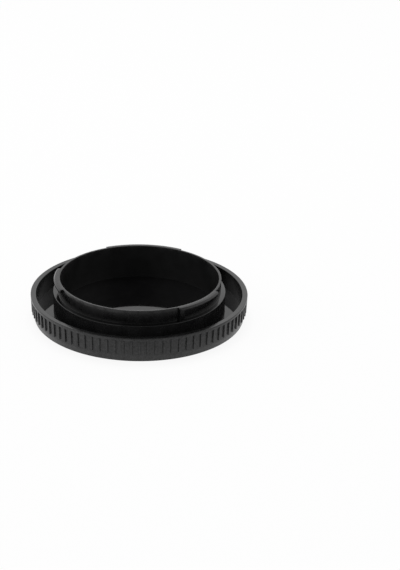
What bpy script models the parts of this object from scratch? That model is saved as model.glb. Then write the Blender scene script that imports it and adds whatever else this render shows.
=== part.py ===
"""Camera body cap: one black plastic moulding, lying on its closed front face with its mount side up.

The front face closes a short ribbed rim. A thin barrel stands inside the rim, on a thicker collar, and ends
in three bayonet lugs that point outwards. Between the rim and the collar is an open ring-shaped channel.
The frame is at the middle of the front face, with +Z towards the mount side. Lengths are in millimetres up
to the point where they become a mesh, which is in metres.
"""

import math

import bmesh
import bpy
from mathutils import Matrix

MM = 0.001

# Rim and front face
RIM_DIAMETER = 62.0
RIM_HEIGHT = 7.1
RIM_WALL = 1.5
RIM_DRAFT_DEG = 1.8
RIM_OUTER_EDGE = 0.2
RIM_INNER_EDGE = 0.15
FACE_THICKNESS = 1.4
FACE_BEVEL_WIDTH = 0.75
FACE_BEVEL_HEIGHT = 1.9

# Grip grooves round the rim, closed at both ends
GROOVE_COUNT = 90
GROOVE_WIDTH = 0.84
GROOVE_DEPTH = 0.32
GROOVE_TOP_LAND = 0.8
GROOVE_BOTTOM_LAND = 0.2
GROOVE_FIRST_DEG = 1.4

# Barrel, and the collar that seats against the camera's mount
BARREL_DIAMETER = 46.6
BARREL_WALL = 0.65
BARREL_RISE = 4.4
COLLAR_WIDTH = 1.3
COLLAR_RISE = 0.55
COLLAR_EDGE = 0.2

# Bayonet lugs: where each starts and ends, in degrees anticlockwise from +X
LUG_SPANS_DEG = {"left": (171.0, 208.0), "rear": (62.0, 118.5), "right": (300.0, 338.0)}
LUG_REACH = 1.1
LUG_THICKNESS = 0.9
LUG_EDGE = 0.15
LUG_TOP_SLOPE = 0.35
STOP_LUG = "right"
STOP_WIDTH = 1.5

# How finely round shapes are cut into flat facets, how deep joined shapes run into each other, and the
# angle between two faces past which their edge is drawn sharp
FACETS_PER_GROOVE = 2
BARREL_FACETS = 90
OVERLAP = 0.35
SHARP_EDGE_DEG = 30.0

PLASTIC_COLOUR = (0.012, 0.012, 0.013, 1.0)
PLASTIC_ROUGHNESS = 0.42

# Sizes that follow from the ones above
RIM_RADIUS = RIM_DIAMETER / 2
RIM_LEAN = math.tan(math.radians(RIM_DRAFT_DEG))
BARREL_RADIUS = BARREL_DIAMETER / 2
BARREL_INNER_RADIUS = BARREL_RADIUS - BARREL_WALL
BARREL_TOP = RIM_HEIGHT + BARREL_RISE
COLLAR_RADIUS = BARREL_RADIUS + COLLAR_WIDTH
COLLAR_TOP = RIM_HEIGHT + COLLAR_RISE
BURIED_RADIUS = BARREL_RADIUS - min(OVERLAP, BARREL_WALL / 2)
BURIED_BASE = FACE_THICKNESS - min(OVERLAP, FACE_THICKNESS / 2)


def clear_scene():
    """Removes whatever the scene holds."""
    for item in list(bpy.data.objects):
        bpy.data.objects.remove(item, do_unlink=True)


def make_collection(name):
    """Adds a collection to the scene."""
    collection = bpy.data.collections.new(name)
    bpy.context.scene.collection.children.link(collection)
    return collection


def add_object(name, mesh_builder, collection):
    """Turns a bmesh that was made in millimetres into an object in metres."""
    bmesh.ops.scale(mesh_builder, vec=(MM, MM, MM), verts=mesh_builder.verts)
    mesh = bpy.data.meshes.new(name)
    mesh_builder.to_mesh(mesh)
    mesh_builder.free()
    item = bpy.data.objects.new(name, mesh)
    collection.objects.link(item)
    return item


def revolve(name, section, facets, first_deg, collection):
    """Turns a section of (radius, height) points about the vertical axis with a Screw modifier."""
    builder = bmesh.new()
    points = [builder.verts.new((radius, 0.0, height)) for radius, height in section]
    on_axis = section[0][0] == 0.0 and section[-1][0] == 0.0
    ends = points[1:] if on_axis else points[1:] + points[:1]
    for start, end in zip(points, ends):
        builder.edges.new((start, end))
    turn = Matrix.Rotation(math.radians(first_deg), 3, "Z")
    bmesh.ops.rotate(builder, cent=(0.0, 0.0, 0.0), matrix=turn, verts=builder.verts)
    item = add_object(name, builder, collection)
    screw = item.modifiers.new("turn", "SCREW")
    screw.axis = "Z"
    screw.angle = math.tau
    screw.steps = facets
    screw.render_steps = facets
    screw.use_merge_vertices = True
    screw.merge_threshold = 0.00001
    return item


def arc_block(name, section, start_deg, end_deg, facet_deg, collection):
    """Sweeps a closed section of (radius, height) points round the axis from one angle to another."""
    builder = bmesh.new()
    face = builder.faces.new([builder.verts.new((radius, 0.0, height)) for radius, height in section])
    turn = Matrix.Rotation(math.radians(start_deg), 3, "Z")
    bmesh.ops.rotate(builder, cent=(0.0, 0.0, 0.0), matrix=turn, verts=builder.verts)
    steps = max(1, round((end_deg - start_deg) / facet_deg))
    bmesh.ops.spin(builder, geom=[face], cent=(0.0, 0.0, 0.0), axis=(0.0, 0.0, 1.0), steps=steps,
                   angle=math.radians(end_deg - start_deg), use_duplicate=False)
    bmesh.ops.recalc_face_normals(builder, faces=builder.faces)
    return add_object(name, builder, collection)


def as_cutter(item):
    """Marks an object that only shapes another one."""
    item.hide_render = True
    item.display_type = "WIRE"
    return item


def join(item, other, operation):
    """Combines an object with another by a Boolean modifier."""
    boolean = item.modifiers.new(other.name, "BOOLEAN")
    boolean.operation = operation
    boolean.solver = "EXACT"
    boolean.object = other


def rim_radius_at(height):
    """Outer radius of the rim, which leans in slightly towards the front face."""
    return RIM_RADIUS - RIM_LEAN * (RIM_HEIGHT - height)


def rim_section():
    """Section of the front face and the rim, from the middle of the floor to the middle of the face."""
    inner_top = RIM_RADIUS - RIM_WALL
    inner_floor = inner_top - RIM_LEAN * (RIM_HEIGHT - FACE_THICKNESS)
    bevel_radius = rim_radius_at(FACE_BEVEL_HEIGHT)
    return [
        (0.0, FACE_THICKNESS),
        (inner_floor, FACE_THICKNESS),
        (inner_top, RIM_HEIGHT - RIM_INNER_EDGE),
        (inner_top + RIM_INNER_EDGE, RIM_HEIGHT),
        (RIM_RADIUS - RIM_OUTER_EDGE, RIM_HEIGHT),
        (RIM_RADIUS, RIM_HEIGHT - RIM_OUTER_EDGE),
        (bevel_radius, FACE_BEVEL_HEIGHT),
        (bevel_radius - FACE_BEVEL_WIDTH, 0.0),
        (0.0, 0.0),
    ]


def barrel_section():
    """Section of the thin barrel and its collar, a closed loop that runs into the front face."""
    return [
        (BARREL_INNER_RADIUS, BURIED_BASE),
        (BARREL_INNER_RADIUS, BARREL_TOP),
        (BARREL_RADIUS, BARREL_TOP),
        (BARREL_RADIUS, COLLAR_TOP),
        (COLLAR_RADIUS - COLLAR_EDGE, COLLAR_TOP),
        (COLLAR_RADIUS, COLLAR_TOP - COLLAR_EDGE),
        (COLLAR_RADIUS, BURIED_BASE),
    ]


def lug_section():
    """Section of a lug, flush with the barrel's end and sloped at its outer edge, from the barrel's wall outwards."""
    tip = BARREL_RADIUS + LUG_REACH
    underside = BARREL_TOP - LUG_THICKNESS
    return [
        (BURIED_RADIUS, underside),
        (tip - LUG_EDGE, underside),
        (tip, underside + LUG_EDGE),
        (tip, BARREL_TOP - LUG_TOP_SLOPE),
        (tip - LUG_TOP_SLOPE, BARREL_TOP),
        (BURIED_RADIUS, BARREL_TOP),
    ]


def stop_section():
    """Section of the block that fills the slot under one lug's end, from the collar up into the lug."""
    tip = BARREL_RADIUS + LUG_REACH
    return [
        (BURIED_RADIUS, COLLAR_TOP - OVERLAP),
        (tip - LUG_EDGE, COLLAR_TOP - OVERLAP),
        (tip - LUG_EDGE, BARREL_TOP - LUG_THICKNESS / 2),
        (BURIED_RADIUS, BARREL_TOP - LUG_THICKNESS / 2),
    ]


def make_groove_cutters(collection):
    """Makes the ring of upright capsules, six-sided with one flat towards the axis, that cut the grooves."""
    radius = GROOVE_WIDTH / 2
    bottom = FACE_BEVEL_HEIGHT + GROOVE_BOTTOM_LAND + radius
    top = RIM_HEIGHT - GROOVE_TOP_LAND - radius
    flat = radius * math.cos(math.pi / 6) * math.cos(math.pi / 6)
    middle_height = (bottom + top) / 2
    centre = rim_radius_at(middle_height) * math.cos(math.pi / GROOVE_COUNT / FACETS_PER_GROOVE)
    centre += flat - GROOVE_DEPTH
    builder = bmesh.new()
    for index in range(GROOVE_COUNT):
        angle = math.radians(GROOVE_FIRST_DEG) + index * math.tau / GROOVE_COUNT
        made = bmesh.ops.create_uvsphere(builder, u_segments=6, v_segments=3, radius=radius)["verts"]
        bmesh.ops.rotate(builder, cent=(0.0, 0.0, 0.0), matrix=Matrix.Rotation(math.pi / 6, 3, "Z"), verts=made)
        for vertex in made:
            vertex.co.z += top if vertex.co.z > 0 else bottom
        bmesh.ops.translate(builder, vec=(centre, 0.0, 0.0), verts=made)
        bmesh.ops.rotate(builder, cent=(0.0, 0.0, 0.0), matrix=Matrix.Rotation(angle, 3, "Z"), verts=made)
    return as_cutter(add_object("grip_grooves", builder, collection))


def apply_modifiers(item):
    """Keeps the finished shape as the object's own mesh, shaded smooth between its sharp edges."""
    evaluated = item.evaluated_get(bpy.context.evaluated_depsgraph_get())
    finished = bpy.data.meshes.new_from_object(evaluated)
    item.modifiers.clear()
    item.data = finished
    finished.shade_smooth()
    finished.set_sharp_from_angle(angle=math.radians(SHARP_EDGE_DEG))


def make_material():
    """Black moulded plastic with a fine matt grain."""
    material = bpy.data.materials.new("black_plastic")
    material.use_nodes = True
    shader = material.node_tree.nodes["Principled BSDF"]
    shader.inputs["Base Color"].default_value = PLASTIC_COLOUR
    shader.inputs["Roughness"].default_value = PLASTIC_ROUGHNESS
    shader.inputs["Metallic"].default_value = 0.0
    return material


def make_cap(parts, cutters):
    """Builds the whole moulding from its rim, grooves, barrel, lugs and stop."""
    facet_deg = 360.0 / BARREL_FACETS
    half_facet_deg = 180.0 / (GROOVE_COUNT * FACETS_PER_GROOVE)
    cap = revolve("body_cap", rim_section(), GROOVE_COUNT * FACETS_PER_GROOVE,
                  GROOVE_FIRST_DEG - half_facet_deg, parts)
    cap.data.materials.append(make_material())
    join(cap, make_groove_cutters(cutters), "DIFFERENCE")
    join(cap, as_cutter(revolve("barrel", barrel_section(), BARREL_FACETS, 0.0, cutters)), "UNION")
    for name, (start, end) in LUG_SPANS_DEG.items():
        lug = arc_block("lug_" + name, lug_section(), start, end, facet_deg, cutters)
        join(cap, as_cutter(lug), "UNION")
    stop_start = LUG_SPANS_DEG[STOP_LUG][0]
    stop_end = stop_start + math.degrees(STOP_WIDTH / (BARREL_RADIUS + LUG_REACH))
    join(cap, as_cutter(arc_block("stop", stop_section(), stop_start, stop_end, facet_deg, cutters)), "UNION")
    apply_modifiers(cap)


clear_scene()
cap_collection = make_collection("camera_body_cap")
cutter_collection = make_collection("cutters")
make_cap(cap_collection, cutter_collection)
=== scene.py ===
# Camera body cap: one black plastic moulding that lies on its closed front face, lugs up.
# The moulding is modelled in millimetres and brought to metres once it is whole.
import math

import bmesh
import bpy
from mathutils import Matrix, Vector


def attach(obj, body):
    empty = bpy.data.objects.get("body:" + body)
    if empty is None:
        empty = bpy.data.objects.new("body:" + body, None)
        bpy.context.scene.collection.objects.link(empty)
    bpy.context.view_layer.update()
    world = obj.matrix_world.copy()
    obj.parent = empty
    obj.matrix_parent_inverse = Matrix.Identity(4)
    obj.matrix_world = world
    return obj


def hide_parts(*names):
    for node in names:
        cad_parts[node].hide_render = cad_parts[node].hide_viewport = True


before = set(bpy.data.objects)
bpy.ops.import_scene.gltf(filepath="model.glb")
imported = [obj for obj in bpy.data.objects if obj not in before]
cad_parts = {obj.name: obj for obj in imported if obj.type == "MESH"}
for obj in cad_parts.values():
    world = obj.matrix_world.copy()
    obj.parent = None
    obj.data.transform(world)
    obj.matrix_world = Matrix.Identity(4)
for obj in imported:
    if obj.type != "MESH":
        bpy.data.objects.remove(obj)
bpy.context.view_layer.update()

mm = 0.001
touching = 0.001                 # millimetres: within these, two places count as one
close = 0.02
near = 0.05
scene = bpy.context.scene


def leaveEditMode():
    if bpy.context.object and bpy.context.object.mode != "OBJECT":
        bpy.ops.object.mode_set(mode="OBJECT")


def clearSelection():
    leaveEditMode()
    bpy.ops.object.select_all(action="DESELECT")


def workOn(piece, mode="EDIT"):
    clearSelection()
    piece.select_set(True)
    bpy.context.view_layer.objects.active = piece
    if mode == "EDIT":
        bpy.ops.object.mode_set(mode="EDIT")
        bpy.ops.mesh.select_all(action="DESELECT")


def addPrimitive(name, add, **sizes):
    clearSelection()
    add(**sizes)
    piece = bpy.context.object
    piece.name = name
    piece.data.name = name
    bpy.ops.object.transform_apply(location=True, rotation=True, scale=True)
    return piece


def pickVerts(piece, test):
    bpy.ops.mesh.select_mode(type="VERT")
    bpy.ops.mesh.select_all(action="DESELECT")
    shape = bmesh.from_edit_mesh(piece.data)
    for vert in shape.verts:
        vert.select_set(test(vert.co))
    shape.select_flush_mode()
    bmesh.update_edit_mesh(piece.data)


def pickEdges(piece, test):
    bpy.ops.mesh.select_mode(type="EDGE")
    bpy.ops.mesh.select_all(action="DESELECT")
    shape = bmesh.from_edit_mesh(piece.data)
    for edge in [edge for edge in shape.edges if test(edge)]:
        edge.select_set(True)
    bmesh.update_edit_mesh(piece.data)


def pickFaces(piece, test):
    bpy.ops.mesh.select_mode(type="FACE")
    bpy.ops.mesh.select_all(action="DESELECT")
    shape = bmesh.from_edit_mesh(piece.data)
    for face in [face for face in shape.faces if test(face)]:
        face.select_set(True)
    bmesh.update_edit_mesh(piece.data)


def faceOutwards():
    bpy.ops.mesh.select_all(action="SELECT")
    bpy.ops.mesh.normals_make_consistent(inside=False)


def mergeClose(distance):
    bpy.ops.mesh.select_all(action="SELECT")
    bpy.ops.mesh.remove_doubles(threshold=distance)
    bpy.ops.mesh.normals_make_consistent(inside=False)


def joinTo(piece, other):
    workOn(piece, "OBJECT")
    other.select_set(True)
    bpy.ops.object.join()


def applyModifiers(piece):
    workOn(piece, "OBJECT")
    for modifier in list(piece.modifiers):
        bpy.ops.object.modifier_apply(modifier=modifier.name)


def unite(piece, other):
    workOn(piece, "OBJECT")
    union = piece.modifiers.new("union", "BOOLEAN")
    union.operation = "UNION"
    union.solver = "EXACT"
    union.object = other
    applyModifiers(piece)
    bpy.data.objects.remove(other, do_unlink=True)


def bearing(point):
    return math.degrees(math.atan2(point[1], point[0])) % 360


def reach(point):
    return math.hypot(point[0], point[1])


def turnVert(vert, degrees):
    vert.co.rotate(Matrix.Rotation(math.radians(degrees), 3, "Z"))


# The turned shape: front face, rim, channel, collar and barrel

turned = {
    "steps": 352,                # four to each rib of the grip
    "rimRadius": 30.99,
    "rimHeight": 7.1,
    "rimTopFall": 0.06,          # the rim's top falls this much towards the inside
    "rimWall": 1.5,
    "lean": math.tan(math.radians(1.8)),    # both sides of the rim lean inwards going down
    "faceThickness": 1.4,
    "faceRadius": 30.09,
    "bevelHeight": 1.7,
    "lipBottom": 6.315,
    "barrelRadius": 23.3,
    "barrelWall": 0.65,
    "barrelTop": 11.499,
    "collarRadius": 24.6,
    "collarTop": 7.65,
    "lugThickness": 0.9,
    "frontRing": 6.0,            # a ring of corners this far inside the edge of the front face
    "floorRing": 5.2,            # and of the barrel's floor
    "roundingSegments": 4,
}
roundings = {
    "frontEdge": 0.12,
    "bevelTop": 0.25,
    "lipUnderside": 0.03,
    "rimOutside": 0.16,
    "rimInside": 0.12,
    "channelOutside": 0.06,
    "channelInside": 0.06,
    "collarEdge": 0.2,
    "barrelFoot": 0.05,
}
grip = {
    "count": 88,
    "first": 3.40,               # bearing of the middle of the first rib, in degrees
    "halfWidth": 0.35,           # of a rib, at its foot
    "depth": 0.38,               # of the grooves
    "bottom": 2.1,
    "top": 6.28,
    "endRise": 0.14,             # how far a rib's rounded ends reach past its straight sides
    "wallBottom": 2.0,           # where the wall that is made rib by rib starts and ends
    "wallTop": 6.30,
    "columns": 4,                # of one rib's share of that wall
    "endRows": 4,                # and its rows below and above the rib's straight sides
    # how a rib rises: narrower by, up to this part of the grooves' depth
    "rises": [(0.02, 0.06), (0.012, 0.2), (0.012, 0.6), (0.01, 0.88), (0.012, 0.96), (0.022, 1.0)],
}


def rimRadiusAt(height):
    return turned["rimRadius"] - turned["lean"] * (turned["rimHeight"] - height)


def wallRadiusAt(height):
    return rimRadiusAt(height) - grip["depth"]


def traceSection(name, corners):
    # corners: (radius, height, rounding); the line is drawn by extruding one point
    section = addPrimitive(name, bpy.ops.mesh.primitive_plane_add, size=1.0, location=(0, 0, 0))
    workOn(section)
    bpy.ops.mesh.select_all(action="SELECT")
    bpy.ops.mesh.merge(type="CENTER")
    here = Vector((0, 0, 0))
    for number, (radius, height, rounding) in enumerate(corners):
        there = Vector((radius, 0, height))
        if number == 0:
            bpy.ops.transform.translate(value=there - here)
        else:
            bpy.ops.mesh.extrude_region_move(TRANSFORM_OT_translate={"value": there - here})
        here = there
    for size in sorted({rounding for radius, height, rounding in corners if rounding}):
        spots = [Vector((radius, 0, height)) for radius, height, rounding in corners if rounding == size]
        pickVerts(section, lambda place: any((place - spot).length < touching for spot in spots))
        bpy.ops.mesh.bevel(offset=size, segments=turned["roundingSegments"], affect="VERTICES")
    return section


def makeTurnedShape():
    t, r = turned, roundings
    rimInner = t["rimRadius"] - t["rimWall"]
    floorOuter = rimInner - t["lean"] * (t["rimHeight"] - t["faceThickness"])
    bore = t["barrelRadius"] - t["barrelWall"]
    lugBottom = t["barrelTop"] - t["lugThickness"]
    shape = traceSection("capMoulding", [
        (0.0, 0.0, 0),
        (t["faceRadius"] - t["frontRing"], 0.0, 0),
        (t["faceRadius"], 0.0, r["frontEdge"]),
        (wallRadiusAt(t["bevelHeight"]), t["bevelHeight"], r["bevelTop"]),
        (wallRadiusAt(grip["wallBottom"]), grip["wallBottom"], 0),
        (wallRadiusAt(grip["wallTop"]), grip["wallTop"], 0),
        (wallRadiusAt(t["lipBottom"]), t["lipBottom"], 0),
        (rimRadiusAt(t["lipBottom"]), t["lipBottom"], r["lipUnderside"]),
        (t["rimRadius"], t["rimHeight"], r["rimOutside"]),
        (rimInner, t["rimHeight"] - t["rimTopFall"], r["rimInside"]),
        (floorOuter, t["faceThickness"], r["channelOutside"]),
        (t["collarRadius"], t["faceThickness"], r["channelInside"]),
        (t["collarRadius"], t["collarTop"], r["collarEdge"]),
        (t["barrelRadius"], t["collarTop"], r["barrelFoot"]),
        (t["barrelRadius"], lugBottom, 0),
        (t["barrelRadius"], t["barrelTop"], 0),
        (bore, t["barrelTop"], 0),
        (bore, lugBottom, 0),
        (bore, t["faceThickness"], 0),
        (bore - t["floorRing"], t["faceThickness"], 0),
        (0.0, t["faceThickness"], 0),
    ])

    def isGripStretch(edge):
        low, high = sorted(vert.co.z for vert in edge.verts)
        return abs(low - grip["wallBottom"]) < touching and abs(high - grip["wallTop"]) < touching

    # the wall with the ribs is made on its own, so its stretch of the section comes out
    pickEdges(shape, isGripStretch)
    bpy.ops.mesh.delete(type="EDGE")
    bpy.ops.mesh.select_all(action="SELECT")
    bpy.ops.transform.rotate(value=-math.radians(grip["first"]), orient_axis="Z", center_override=(0, 0, 0))
    bpy.ops.mesh.spin(steps=t["steps"], angle=math.tau, center=(0, 0, 0), axis=(0, 0, 1))
    mergeClose(0.002)
    leaveEditMode()
    return shape


# The grip: one rib and its share of the wall, flat at first, then bent round and repeated.
# While it is flat, x is across, y up and z out of the wall.
# A rib's straight sides go from low to high.

def makeShare(low, high):
    # only the outline of the share stays, and is bridged to the rib's foot
    g = grip
    pitch = math.tau * turned["rimRadius"] / g["count"]
    rows = 2 * g["endRows"] + 1
    share = addPrimitive("gripWall", bpy.ops.mesh.primitive_grid_add, x_subdivisions=g["columns"],
                         y_subdivisions=rows, size=1.0, location=(0, 0, 0))
    workOn(share)
    shape = bmesh.from_edit_mesh(share.data)
    for vert in shape.verts:
        row = round((vert.co.y + 0.5) * rows)
        vert.co.x *= pitch
        if row <= g["endRows"]:
            vert.co.y = g["wallBottom"] + (low - g["wallBottom"]) * row / g["endRows"]
        else:
            vert.co.y = high + (g["wallTop"] - high) * (row - g["endRows"] - 1) / g["endRows"]
    bmesh.update_edit_mesh(share.data)
    pickFaces(share, lambda face: True)
    bpy.ops.mesh.delete(type="ONLY_FACE")
    pickVerts(share, lambda place: abs(place.x) < pitch / 2 - touching
              and g["wallBottom"] + touching < place.y < g["wallTop"] - touching)
    bpy.ops.mesh.delete(type="VERT")
    leaveEditMode()
    return share


def makeFoot(low, high):
    # it has as many corners as the share's outline, half of them in each rounded end
    half = grip["halfWidth"]
    endCorners = grip["columns"] + 2 * grip["endRows"] + 1
    foot = addPrimitive("foot", bpy.ops.mesh.primitive_circle_add, vertices=2 * endCorners, radius=half,
                        location=(0, 0, 0))
    workOn(foot)
    shape = bmesh.from_edit_mesh(foot.data)
    ring = sorted(shape.verts, key=lambda vert: math.atan2(vert.co.y, vert.co.x) % math.tau)
    for number, vert in enumerate(ring):
        upper = number < endCorners
        turn = math.pi * (number if upper else number - 1) / (endCorners - 1)
        vert.co = (half * math.cos(turn), grip["endRise"] * math.sin(turn) + (high if upper else low), 0)
    bmesh.update_edit_mesh(foot.data)
    leaveEditMode()
    return foot


def raiseRib(share, high):
    g = grip

    def onFoot(edge):
        return edge.is_boundary and all(abs(vert.co.x) < g["halfWidth"] + touching
                                        and g["bottom"] - touching < vert.co.y < g["top"] + touching
                                        for vert in edge.verts)

    pickEdges(share, onFoot)
    bpy.ops.mesh.edge_face_add()
    faceOutwards()
    pickFaces(share, lambda face: len(face.verts) > 4)    # the foot's face, as all others have four corners
    shape = bmesh.from_edit_mesh(share.data)
    outwards = 1 if [face for face in shape.faces if face.select][0].normal.z > 0 else -1
    here = 0.0
    for narrower, part in g["rises"]:
        bpy.ops.mesh.inset(thickness=narrower, depth=outwards * (part - here) * g["depth"])
        here = part
        # the upper end goes back to where it was, so that it stands upright under the lip
        stretch = g["endRise"] / (g["endRise"] - narrower)
        shape = bmesh.from_edit_mesh(share.data)
        for vert in shape.verts:
            if vert.select and vert.co.y > high:
                vert.co.y = high + (vert.co.y - high) * stretch
        bmesh.update_edit_mesh(share.data)
    faceOutwards()


def makeGrippedWall():
    g = grip
    low, high = g["bottom"] + g["endRise"], g["top"] - g["endRise"]
    share = makeShare(low, high)
    joinTo(share, makeFoot(low, high))
    workOn(share)
    bpy.ops.mesh.select_mode(type="EDGE")
    bpy.ops.mesh.select_all(action="SELECT")
    bpy.ops.mesh.bridge_edge_loops()
    raiseRib(share, high)
    shape = bmesh.from_edit_mesh(share.data)
    for vert in shape.verts:
        turn = vert.co.x / turned["rimRadius"] + math.radians(g["first"])
        radius = wallRadiusAt(vert.co.y) + vert.co.z
        vert.co = (radius * math.cos(turn), radius * math.sin(turn), vert.co.y)
    bmesh.update_edit_mesh(share.data)
    bpy.ops.mesh.select_all(action="SELECT")
    bpy.ops.mesh.spin(steps=g["count"], dupli=True, angle=math.tau, center=(0, 0, 0), axis=(0, 0, 1))
    leaveEditMode()
    return share


# The bayonet lugs and their stop

lugs = {
    "spans": {"left": (171, 208), "rear": (62, 118.4), "right": (300, 338)},   # bearings in degrees
    "flatRadius": 24.03,         # where the flat end gives way to the slope of the lug's edge
    "tipRadius": 24.37,
    "slopeDown": 0.36,
    "slopeUp": 0.14,
    "endsIn": 0.7,               # degrees that the tip stops short of the lug's own ends
    "edgeRounding": 0.055,
    "edgeSegments": 3,
    "sharpAngle": 25,            # an edge that turns by more than this is rounded
    "roundedBeyond": 19,         # from this radius on
}
stop = {
    "bearing": 302.0,
    "width": 1.5,
    "inner": 22.95,
    "outer": 24.2,
    "bottom": 7.4,
    "top": 11.0,
    "edgeRounding": 0.14,
    "edgeSegments": 3,
}


def growLug(piece, start, end):
    t = turned
    underside = t["barrelTop"] - t["lugThickness"]
    halfStep = 180 / t["steps"]
    slack = 0.1                  # in degrees and in millimetres

    def onWall(face):
        middle = face.calc_center_median()
        return (abs(reach(middle) - t["barrelRadius"]) < close and middle.z > underside
                and start < bearing(middle) < end and abs(face.normal.z) < slack)

    # the steps nearest the lug's ends move onto them
    shape = bmesh.from_edit_mesh(piece.data)
    for vert in shape.verts:
        if vert.co.z > underside - near and reach(vert.co) < t["barrelRadius"] + near:
            for lugEnd in (start, end):
                if abs(lugEnd - bearing(vert.co)) < halfStep:
                    turnVert(vert, lugEnd - bearing(vert.co))
    bmesh.update_edit_mesh(piece.data)
    pickFaces(piece, onWall)
    here = t["barrelRadius"]
    for radius in (lugs["flatRadius"], lugs["tipRadius"]):
        bpy.ops.mesh.extrude_region_move()
        bpy.ops.transform.resize(value=(radius / here, radius / here, 1), center_override=(0, 0, 0))
        here = radius
    shape = bmesh.from_edit_mesh(piece.data)
    tips = [vert for vert in shape.verts if vert.select]
    first = min(bearing(vert.co) for vert in tips)
    last = max(bearing(vert.co) for vert in tips)
    for vert in tips:
        vert.co.z += lugs["slopeUp"] if vert.co.z < underside + slack else -lugs["slopeDown"]
        if bearing(vert.co) < first + slack:
            turnVert(vert, lugs["endsIn"])
        elif bearing(vert.co) > last - slack:
            turnVert(vert, -lugs["endsIn"])
    bmesh.update_edit_mesh(piece.data)


def roundLugEdges(piece):
    lowest = turned["barrelTop"] - turned["lugThickness"] - near

    def isSharp(edge):
        if len(edge.link_faces) != 2:
            return False
        middle = (edge.verts[0].co + edge.verts[1].co) / 2
        if middle.z <= lowest or reach(middle) <= lugs["roundedBeyond"]:
            return False
        return edge.calc_face_angle_signed() > math.radians(lugs["sharpAngle"])

    pickEdges(piece, isSharp)
    bpy.ops.mesh.bevel(offset=lugs["edgeRounding"], segments=lugs["edgeSegments"], affect="EDGES",
                       clamp_overlap=True)


def makeStop():
    # a block that fills the slot under the start of one lug
    s = stop
    turn = math.radians(s["bearing"])
    middle = (s["inner"] + s["outer"]) / 2
    place = (middle * math.cos(turn), middle * math.sin(turn), (s["bottom"] + s["top"]) / 2)
    size = (s["outer"] - s["inner"], s["width"], s["top"] - s["bottom"])
    block = addPrimitive("stopBlock", bpy.ops.mesh.primitive_cube_add, size=1.0, location=place,
                         rotation=(0, 0, turn), scale=size)
    workOn(block)
    pickEdges(block, lambda edge: abs(edge.verts[0].co.z - edge.verts[1].co.z) > 1
              and reach(edge.verts[0].co) > middle)      # the two upright edges that face outwards
    bpy.ops.mesh.bevel(offset=s["edgeRounding"], segments=s["edgeSegments"], affect="EDGES")
    leaveEditMode()
    return block


# Nodes

def makeGroup(name, inputs, outputs):
    group = bpy.data.node_groups.new(name, "ShaderNodeTree")
    for label, kind, value in inputs:
        socket = group.interface.new_socket(name=label, in_out="INPUT", socket_type=kind)
        socket.default_value = value
    for label, kind in outputs:
        group.interface.new_socket(name=label, in_out="OUTPUT", socket_type=kind)
    return group, group.nodes.new("NodeGroupInput"), group.nodes.new("NodeGroupOutput")


def feed(tree, socket, value):
    # a socket takes a link from another node, or a plain value
    if isinstance(value, bpy.types.NodeSocket):
        tree.links.new(value, socket)
    else:
        socket.default_value = value


def addNode(tree, kind, inputs=None, **settings):
    node = tree.nodes.new(kind)
    for label, value in settings.items():
        setattr(node, label, value)
    for label, value in (inputs or {}).items():
        feed(tree, node.inputs[label], value)
    return node


def doMath(tree, operation, *values, clamp=False):
    node = addNode(tree, "ShaderNodeMath", dict(enumerate(values)), operation=operation, use_clamp=clamp)
    return node.outputs[0]


mixSockets = {"RGBA": (6, 7, 2), "FLOAT": (2, 3, 0)}    # a Mix node's two inputs and output for each kind


def mix(tree, kind, factor, start, end):
    startSocket, endSocket, result = mixSockets[kind]
    inputs = {"Factor": factor, startSocket: start, endSocket: end}
    return addNode(tree, "ShaderNodeMix", inputs, data_type=kind).outputs[result]


def mapRange(tree, value, fromRange, toRange, **settings):
    inputs = {"Value": value, "From Min": fromRange[0], "From Max": fromRange[1],
              "To Min": toRange[0], "To Max": toRange[1]}
    return addNode(tree, "ShaderNodeMapRange", inputs, **settings).outputs["Result"]


def opaque(colour, level=1.0):
    return (*[part * level for part in colour], 1)


# The finish of the plastic, with painted light and shade in its colours

moulded = {
    "pits": 0.6,                 # how deep the grain's pits are beside its fine noise
    "fineDetail": 3.0,
    "fineRoughness": 0.6,
    "mottleDetail": 4.0,
    "mottleRoughness": 0.62,
    "mottleRange": (0.32, 0.68),
    "bumpDistance": 0.00004,
}
# edges that are rubbed, and painted lighter there as a highlight
rubbedAndHighlit = {
    "breaks": 500.0,             # scale of the noise that breaks up a rubbed edge and its painted highlight
    "breakDetail": 3.0,
    "breakRoughness": 0.7,
    "breakRange": (0.42, 0.62),
    "strength": (0.15, 1.0),
    "polish": -0.08,             # what rubbing does to the roughness
}


def makeGrainGroup():
    # the fine matt grain that a mould gives plastic: a height for bump and a slow mottle
    group, given, result = makeGroup(
        "mouldGrain",
        [("Vector", "NodeSocketVector", (0, 0, 0)), ("Grain Scale", "NodeSocketFloat", 3200.0),
         ("Mottle Scale", "NodeSocketFloat", 420.0)],
        [("Height", "NodeSocketFloat"), ("Mottle", "NodeSocketFloat")])
    m = moulded
    place, grainScale = given.outputs["Vector"], given.outputs["Grain Scale"]
    pits = addNode(group, "ShaderNodeTexVoronoi", {"Vector": place, "Scale": grainScale, "Randomness": 1.0},
                   feature="SMOOTH_F1")
    fine = addNode(group, "ShaderNodeTexNoise", {
        "Vector": place, "Scale": grainScale, "Detail": m["fineDetail"], "Roughness": m["fineRoughness"]})
    slow = addNode(group, "ShaderNodeTexNoise", {
        "Vector": place, "Scale": given.outputs["Mottle Scale"], "Detail": m["mottleDetail"],
        "Roughness": m["mottleRoughness"]})
    height = doMath(group, "MULTIPLY_ADD", pits.outputs["Distance"], m["pits"], fine.outputs["Fac"])
    group.links.new(height, result.inputs["Height"])
    spread = mapRange(group, slow.outputs["Fac"], m["mottleRange"], (0.0, 1.0))
    group.links.new(spread, result.inputs["Mottle"])
    return group


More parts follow.
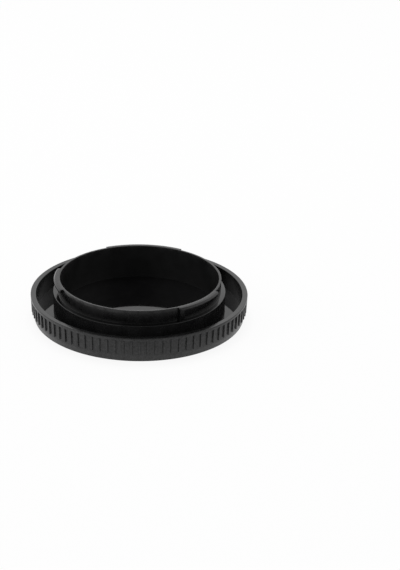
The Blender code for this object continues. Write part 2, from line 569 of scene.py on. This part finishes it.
def makeRingGroup():
    # a mask that is 1 on a ring round the cap's axis and fades away from it: where an edge is rubbed and
    # painted lighter as a highlight
    group, given, result = makeGroup(
        "rubbedAndHighlitRing",
        [("Vector", "NodeSocketVector", (0, 0, 0)),
         ("Radius", "NodeSocketFloat", turned["rimRadius"] * mm),
         ("Height", "NodeSocketFloat", turned["rimHeight"] * mm),
         ("Reach", "NodeSocketFloat", 0.0003), ("Breaks", "NodeSocketFloat", rubbedAndHighlit["breaks"])],
        [("Mask", "NodeSocketFloat")])
    place = given.outputs["Vector"]
    parts = addNode(group, "ShaderNodeSeparateXYZ", {"Vector": place})
    across = doMath(group, "MULTIPLY", parts.outputs["X"], parts.outputs["X"])
    across = doMath(group, "MULTIPLY_ADD", parts.outputs["Y"], parts.outputs["Y"], across)
    radius = doMath(group, "SQRT", across)
    offRing = doMath(group, "SUBTRACT", radius, given.outputs["Radius"])
    offHeight = doMath(group, "SUBTRACT", parts.outputs["Z"], given.outputs["Height"])
    away = doMath(group, "MULTIPLY", offRing, offRing)
    away = doMath(group, "MULTIPLY_ADD", offHeight, offHeight, away)
    away = doMath(group, "DIVIDE", doMath(group, "SQRT", away), given.outputs["Reach"])
    onRing = doMath(group, "SUBTRACT", 1.0, away, clamp=True)
    breaks = addNode(group, "ShaderNodeTexNoise", {
        "Vector": place, "Scale": given.outputs["Breaks"], "Detail": rubbedAndHighlit["breakDetail"],
        "Roughness": rubbedAndHighlit["breakRoughness"]})
    broken = mapRange(group, breaks.outputs["Fac"], rubbedAndHighlit["breakRange"], rubbedAndHighlit["strength"])
    group.links.new(doMath(group, "MULTIPLY", onRing, broken), result.inputs["Mask"])
    return group


usualFinish = {"ior": 1.44, "grainScale": 3000.0, "grainBump": 0.04, "mottleScale": 260.0, "uneven": 0.3}
finishesAndShades = {
    # what a finish has beside or instead of the usual one; each colour is the same black plastic, painted
    # lighter or darker as painted light and shade on that part
    # edges: (radius, height, reach) of the edges that wear and are painted lighter as a highlight, in metres
    "grainedWall": {
        "colour": (0.0175, 0.0175, 0.0179), "wornAndHighlit": (0.0185, 0.0185, 0.019), "roughness": (0.24, 0.40),
        "grainScale": 2400.0, "grainBump": 0.8, "mottleScale": 1500.0, "uneven": 0.9,
        "edges": [(0.03095, 0.00702, 0.0003), (0.0301, 0.0, 0.0003)],
    },
    "rimTop": {
        "colour": (0.0038, 0.0038, 0.0040), "wornAndHighlit": (0.007, 0.007, 0.0073), "roughness": (0.10, 0.14),
        "ior": 1.52, "grainScale": 2600.0, "grainBump": 0.05, "mottleScale": 600.0,
        "edges": [(0.03095, 0.00705, 0.00025), (0.02952, 0.00708, 0.0002)],
    },
    "barrelWall": {
        "colour": (0.0060, 0.0060, 0.0062), "wornAndHighlit": (0.012, 0.012, 0.0125), "roughness": (0.24, 0.30),
        "edges": [(0.02425, 0.0113, 0.0004), (0.02328, 0.01148, 0.0002)],
    },
    "boreWall": {
        "colour": (0.0072, 0.0072, 0.0074), "wornAndHighlit": (0.010, 0.010, 0.0105), "roughness": (0.38, 0.46),
        "ior": 1.46,
        "edges": [(0.02266, 0.01148, 0.0002)],
    },
    "ledge": {
        "colour": (0.0040, 0.0040, 0.0042), "wornAndHighlit": (0.0055, 0.0055, 0.0057), "roughness": (0.09, 0.14),
        "ior": 1.46, "grainBump": 0.03,
        "edges": [(0.02455, 0.0076, 0.0003)],
    },
    "collarWall": {
        "colour": (0.0155, 0.0155, 0.0158), "wornAndHighlit": (0.017, 0.017, 0.0175), "roughness": (0.22, 0.30),
        "edges": [(0.0246, 0.0076, 0.0001)],
    },
    "rimInside": {
        # painted shade: the rim's inner wall is darkened
        "colour": (0.0030, 0.0030, 0.0031), "wornAndHighlit": (0.010, 0.010, 0.0103), "roughness": (0.18, 0.26),
        "ior": 1.36,
        "edges": [(0.0295, 0.0070, 0.0002)],
    },
    "channelFloor": {
        # painted light: the channel floor is lighter than the bore's floor
        "colour": (0.0110, 0.0110, 0.0113), "wornAndHighlit": (0.014, 0.014, 0.0145), "roughness": (0.03, 0.05),
        "ior": 1.43, "grainBump": 0.004,
        "edges": [(0.0270, 0.0014, 0.0004)],
    },
    "boreFloor": {
        # painted shade: the bore's floor is darkened
        "colour": (0.0024, 0.0024, 0.0025), "wornAndHighlit": (0.003, 0.003, 0.0031), "roughness": (0.03, 0.05),
        "ior": 1.43, "grainBump": 0.004,
        "edges": [(0.0225, 0.0014, 0.0004)],
    },
}


def makeFinishAndShade(name, grain, ring):
    f = usualFinish | finishesAndShades[name]
    material = bpy.data.materials.new(name)
    material.use_nodes = True
    tree = material.node_tree
    shader = tree.nodes["Principled BSDF"]
    shader.inputs["Metallic"].default_value = 0.0
    shader.inputs["IOR"].default_value = f["ior"]
    place = addNode(tree, "ShaderNodeTexCoord").outputs["Object"]
    grained = addNode(tree, "ShaderNodeGroup", {"Vector": place, "Grain Scale": f["grainScale"],
                                                "Mottle Scale": f["mottleScale"]}, node_tree=grain)
    wearAndHighlight = None
    for radius, height, nearness in f["edges"]:
        edge = addNode(tree, "ShaderNodeGroup", {"Vector": place, "Radius": radius, "Height": height,
                                                 "Reach": nearness}, node_tree=ring)
        mask = edge.outputs["Mask"]
        wearAndHighlight = mask if wearAndHighlight is None else doMath(tree, "MAXIMUM", wearAndHighlight, mask)
    mottle = grained.outputs["Mottle"]
    darker, lighter = opaque(f["colour"], 1 - f["uneven"]), opaque(f["colour"], 1 + f["uneven"])
    mottled = mix(tree, "RGBA", mottle, darker, lighter)
    # the rings take the lighter colour: wear, and a painted highlight
    tree.links.new(mix(tree, "RGBA", wearAndHighlight, mottled, opaque(f["wornAndHighlit"])), shader.inputs["Base Color"])
    rough = mapRange(tree, mottle, (0.0, 1.0), f["roughness"])
    tree.links.new(doMath(tree, "MULTIPLY_ADD", wearAndHighlight, rubbedAndHighlit["polish"], rough), shader.inputs["Roughness"])
    bump = addNode(tree, "ShaderNodeBump", {"Height": grained.outputs["Height"], "Strength": f["grainBump"],
                                            "Distance": moulded["bumpDistance"]})
    tree.links.new(bump.outputs["Normal"], shader.inputs["Normal"])
    return material


# The moulding

borders = {
    # where one finish and its painted shade give way to the next, in millimetres; up is how far a face looks
    # up, 1 for level
    "rimTopDepth": 0.2,
    "rimTopUp": 0.3,
    "rimInset": 0.1,
    "frontDepth": 0.5,
    "floorDepth": 0.01,
    "floorUp": 0.9,
    "boreDepth": 0.06,
    "ledgeDepth": 0.21,
    "ledgeUp": 0.05,
}
smoothAngle = math.radians(38)


def finishAndShadeAt(face):
    t, b = turned, borders
    middle = face.center / mm
    radius = reach(middle)
    up = face.normal.z
    rimInner = t["rimRadius"] - t["rimWall"]
    bore = t["barrelRadius"] - t["barrelWall"]
    if middle.z > t["rimHeight"] - b["rimTopDepth"] and radius > rimInner - near and up > b["rimTopUp"]:
        return "rimTop"
    if radius > rimInner + b["rimInset"] or middle.z < b["frontDepth"]:
        return "grainedWall"
    if abs(middle.z - t["faceThickness"]) < b["floorDepth"] and up > b["floorUp"]:
        return "channelFloor" if radius > t["barrelRadius"] else "boreFloor"
    if radius < bore + close and middle.z < t["barrelTop"] - b["boreDepth"]:
        return "boreWall"
    if radius > t["barrelRadius"] and abs(middle.z - t["collarTop"]) < b["ledgeDepth"] and up > b["ledgeUp"]:
        return "ledge"
    if radius > t["collarRadius"] - close and middle.z < t["collarTop"]:
        return "collarWall" if radius < (t["collarRadius"] + rimInner) / 2 else "rimInside"
    return "barrelWall"


cap = makeTurnedShape()
print("section turned")
workOn(cap)
for spanStart, spanEnd in lugs["spans"].values():
    growLug(cap, spanStart, spanEnd)
faceOutwards()
roundLugEdges(cap)
leaveEditMode()
print("lugs grown and rounded")
unite(cap, makeStop())
print("stop joined")

joinTo(cap, makeGrippedWall())
workOn(cap)
mergeClose(0.003)
bpy.ops.mesh.select_all(action="SELECT")
bpy.ops.transform.resize(value=(mm, mm, mm), center_override=(0, 0, 0))
leaveEditMode()
print("grip joined")

grainGroup, ringGroup = makeGrainGroup(), makeRingGroup()
finishAndShadeNames = list(finishesAndShades)
cap.data.materials.clear()
for finishAndShadeName in finishAndShadeNames:
    cap.data.materials.append(makeFinishAndShade(finishAndShadeName, grainGroup, ringGroup))
for face in cap.data.polygons:
    face.material_index = finishAndShadeNames.index(finishAndShadeAt(face))
workOn(cap, "OBJECT")
bpy.ops.object.shade_smooth_by_angle(angle=smoothAngle)
weighted = cap.modifiers.new("evenShading", "WEIGHTED_NORMAL")
weighted.keep_sharp = True
weighted.mode = "FACE_AREA"
applyModifiers(cap)
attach(cap, "root")
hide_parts("body_cap")
print("cap done")


# Floor, light and camera

studio = {
    "floorSize": 6.0,
    "floorDrop": 0.00002,        # how far the floor lies under the cap, in metres
    "floorColour": (0.88, 0.88, 0.88),
    "floorShown": 0.90,          # how much of the floor's own white shows, beside what lights it
    "worldDiffuse": 0.55,
    "mirrored": 1.0,             # the floor's white as the cap mirrors it
    "dimFrom": -0.022,           # painted shade: going right from here to there, in metres, the floor that the cap mirrors dims by up to dimBy
    "dimTo": -0.002,
    "dimBy": 0.40,
    "nearCap": 0.033,            # and only beyond these distances from the cap's axis
    "offCap": 0.044,
    "overhead": 0.22,            # the white surroundings fade to this above the cap
    "fadeFrom": 0.5,             # sine of the elevation where they start to fade, and where they end
    "fadeTo": 0.85,
    "cameraSide": (0.26, -0.966, 0.0),
    "cameraSideLight": 0.25,     # what the surroundings give above the camera's side of the floor
    "cameraSideFrom": 0.74,      # how closely a direction points to that side where they fade
    "cameraSideTo": 0.86,
}
lamps = {
    # azimuth and elevation in degrees, distance and size in metres
    "topPanel": {"azimuth": 100, "elevation": 74, "distance": 1.1, "size": 0.6, "watts": 6.0},
    "leftFill": {"azimuth": 198, "elevation": 26, "distance": 1.2, "size": 0.7, "watts": 1.6},
}
cameraPlace = {
    "target": (0.0172545, 0.0202999, 0.0002),
    "distance": 0.350,
    "tilt": 0.4216,              # radians
    "roll": 0.031,
    "lens": 72.35,
    "sensorWidth": 36.0,
    "clipStart": 0.01,
    "clipEnd": 20.0,
}


def seenOrMirrored(tree, path):
    # 1 where the camera sees it, directly or in a gloss, and 0 where it lights the cap
    return doMath(tree, "MAXIMUM", path.outputs["Is Camera Ray"], path.outputs["Is Glossy Ray"])


def fade(tree, value, fromRange, toRange):
    return mapRange(tree, value, fromRange, toRange, interpolation_type="SMOOTHSTEP")


def makeFloor():
    s = studio
    floor = addPrimitive("floor", bpy.ops.mesh.primitive_plane_add, size=s["floorSize"],
                         location=(0, 0, -s["floorDrop"]))
    material = bpy.data.materials.new("paleFloor")
    material.use_nodes = True
    tree = material.node_tree
    tree.nodes.remove(tree.nodes["Principled BSDF"])
    path = addNode(tree, "ShaderNodeLightPath")
    shown = doMath(tree, "MULTIPLY", seenOrMirrored(tree, path), s["floorShown"])
    place = addNode(tree, "ShaderNodeTexCoord").outputs["Object"]
    across = addNode(tree, "ShaderNodeSeparateXYZ", {"Vector": place}).outputs["X"]
    away = addNode(tree, "ShaderNodeVectorMath", {0: place}, operation="LENGTH").outputs["Value"]
    # painted shade on the floor that the cap mirrors: darker to the right and away from the cap, while the
    # camera sees it white
    rightwards = fade(tree, across, (s["dimFrom"], s["dimTo"]), (0.0, s["dimBy"]))
    outwards = fade(tree, away, (s["nearCap"], s["offCap"]), (0.0, -s["mirrored"]))
    mirroredWithPaintedShade = doMath(tree, "MULTIPLY_ADD", rightwards, outwards, s["mirrored"])
    level = mix(tree, "FLOAT", path.outputs["Is Camera Ray"], mirroredWithPaintedShade, 1.0)
    lit = addNode(tree, "ShaderNodeBsdfDiffuse", {"Color": opaque(s["floorColour"])})
    white = addNode(tree, "ShaderNodeEmission", {"Strength": level, "Color": (1, 1, 1, 1)})
    both = addNode(tree, "ShaderNodeMixShader", {0: shown, 1: lit.outputs[0], 2: white.outputs[0]})
    tree.links.new(both.outputs[0], tree.nodes["Material Output"].inputs["Surface"])
    floor.data.materials.append(material)


def makeWorld():
    s = studio
    world = bpy.data.worlds.new("studio")
    world.use_nodes = True
    scene.world = world
    tree = world.node_tree
    seen = seenOrMirrored(tree, addNode(tree, "ShaderNodeLightPath"))
    way = addNode(tree, "ShaderNodeTexCoord").outputs["Generated"]
    height = addNode(tree, "ShaderNodeSeparateXYZ", {"Vector": way}).outputs["Z"]
    tent = fade(tree, height, (s["fadeFrom"], s["fadeTo"]), (1.0, s["overhead"]))
    level = addNode(tree, "ShaderNodeVectorMath", {0: way, 1: (1.0, 1.0, 0.0)}, operation="MULTIPLY")
    ahead = addNode(tree, "ShaderNodeVectorMath", {0: level.outputs["Vector"]}, operation="NORMALIZE")
    facing = addNode(tree, "ShaderNodeVectorMath", {0: ahead.outputs["Vector"], 1: s["cameraSide"]},
                     operation="DOT_PRODUCT")
    side = fade(tree, facing.outputs["Value"], (s["cameraSideFrom"], s["cameraSideTo"]),
                (1.0, s["cameraSideLight"]))
    around = doMath(tree, "MINIMUM", tent, side)
    strength = mapRange(tree, seen, (0.0, 1.0), (s["worldDiffuse"], around))
    shade = tree.nodes["Background"]
    tree.links.new(strength, shade.inputs["Strength"])
    shade.inputs["Color"].default_value = (1, 1, 1, 1)


def addLamp(name, azimuth, elevation, distance, size, watts):
    data = bpy.data.lights.new(name, "AREA")
    data.shape = "DISK"
    data.size = size
    data.energy = watts
    lamp = bpy.data.objects.new(name, data)
    scene.collection.objects.link(lamp)
    a, e = math.radians(azimuth), math.radians(elevation)
    away = Vector((math.cos(a) * math.cos(e), math.sin(a) * math.cos(e), math.sin(e)))
    lamp.location = away * distance
    lamp.visible_glossy = False
    lamp.rotation_mode = "QUATERNION"
    lamp.rotation_quaternion = away.to_track_quat("Z", "Y")


def makeCamera():
    c = cameraPlace
    data = bpy.data.cameras.new("camera")
    data.sensor_width = c["sensorWidth"]
    data.lens = c["lens"]
    data.clip_start = c["clipStart"]
    data.clip_end = c["clipEnd"]
    camera = bpy.data.objects.new("camera", data)
    scene.collection.objects.link(camera)
    tilt, roll = c["tilt"], c["roll"]
    back = Vector((0, -math.cos(tilt), math.sin(tilt)))
    right = Vector((1, 0, 0))
    up = Vector((0, math.sin(tilt), math.cos(tilt)))
    across = right * math.cos(roll) + up * math.sin(roll)
    upright = up * math.cos(roll) - right * math.sin(roll)
    turn = Matrix((across, upright, back)).transposed().to_4x4()
    camera.matrix_world = Matrix.Translation(Vector(c["target"]) + back * c["distance"]) @ turn
    scene.camera = camera


makeFloor()
makeWorld()
for lampName, lampValues in lamps.items():
    addLamp(lampName, **lampValues)
makeCamera()
scene.view_settings.view_transform = "Standard"
print("studio done")
